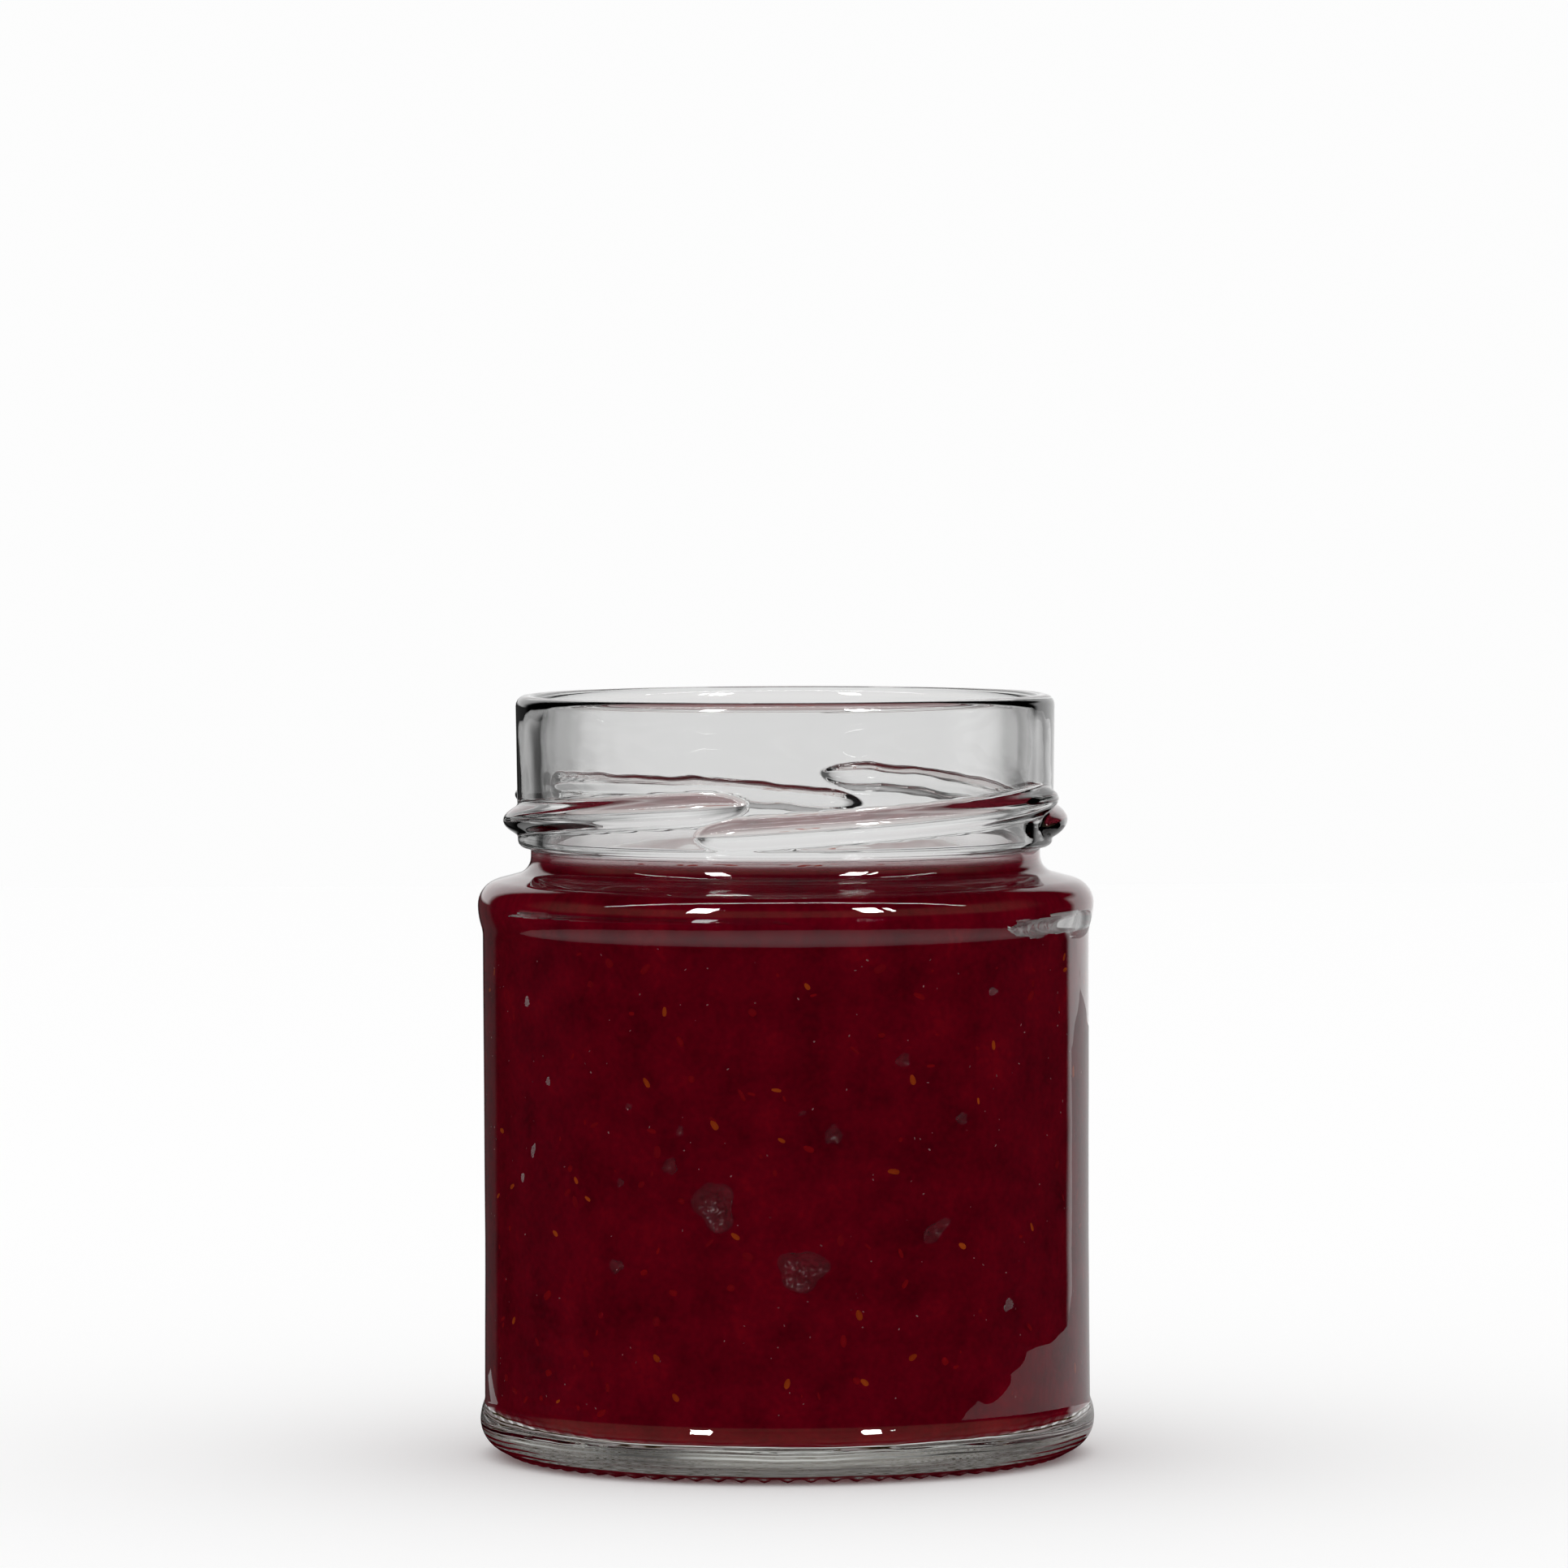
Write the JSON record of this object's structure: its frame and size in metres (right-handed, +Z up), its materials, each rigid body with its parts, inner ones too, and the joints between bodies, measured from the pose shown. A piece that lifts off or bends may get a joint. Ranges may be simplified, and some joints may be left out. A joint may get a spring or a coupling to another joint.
{
  "type": "twist-off jar of berry jam",
  "caption": "Open glass twist-off jar with a deep lug-threaded neck, ringed shoulder and knurled foot, filled to the neck with dark seeded berry jam.",
  "frame": {"origin": "on the jar's axis, in the plane that the knurled foot stands on", "axes": "+Z up along the jar's axis, from foot to rim; -Y is the front, and +X is to the front's right"},
  "size_m": [0.0683, 0.0684, 0.0843],
  "materials": {
    "flint_glass": "clear, fire-polished, with faint mould waviness",
    "berry_jam": "wet gel, glossy on top, seeds and pulp inside"
  },
  "bodies": {
    "root": {"jar": "flint_glass", "jam": "berry_jam"}
  },
  "joints": []
}
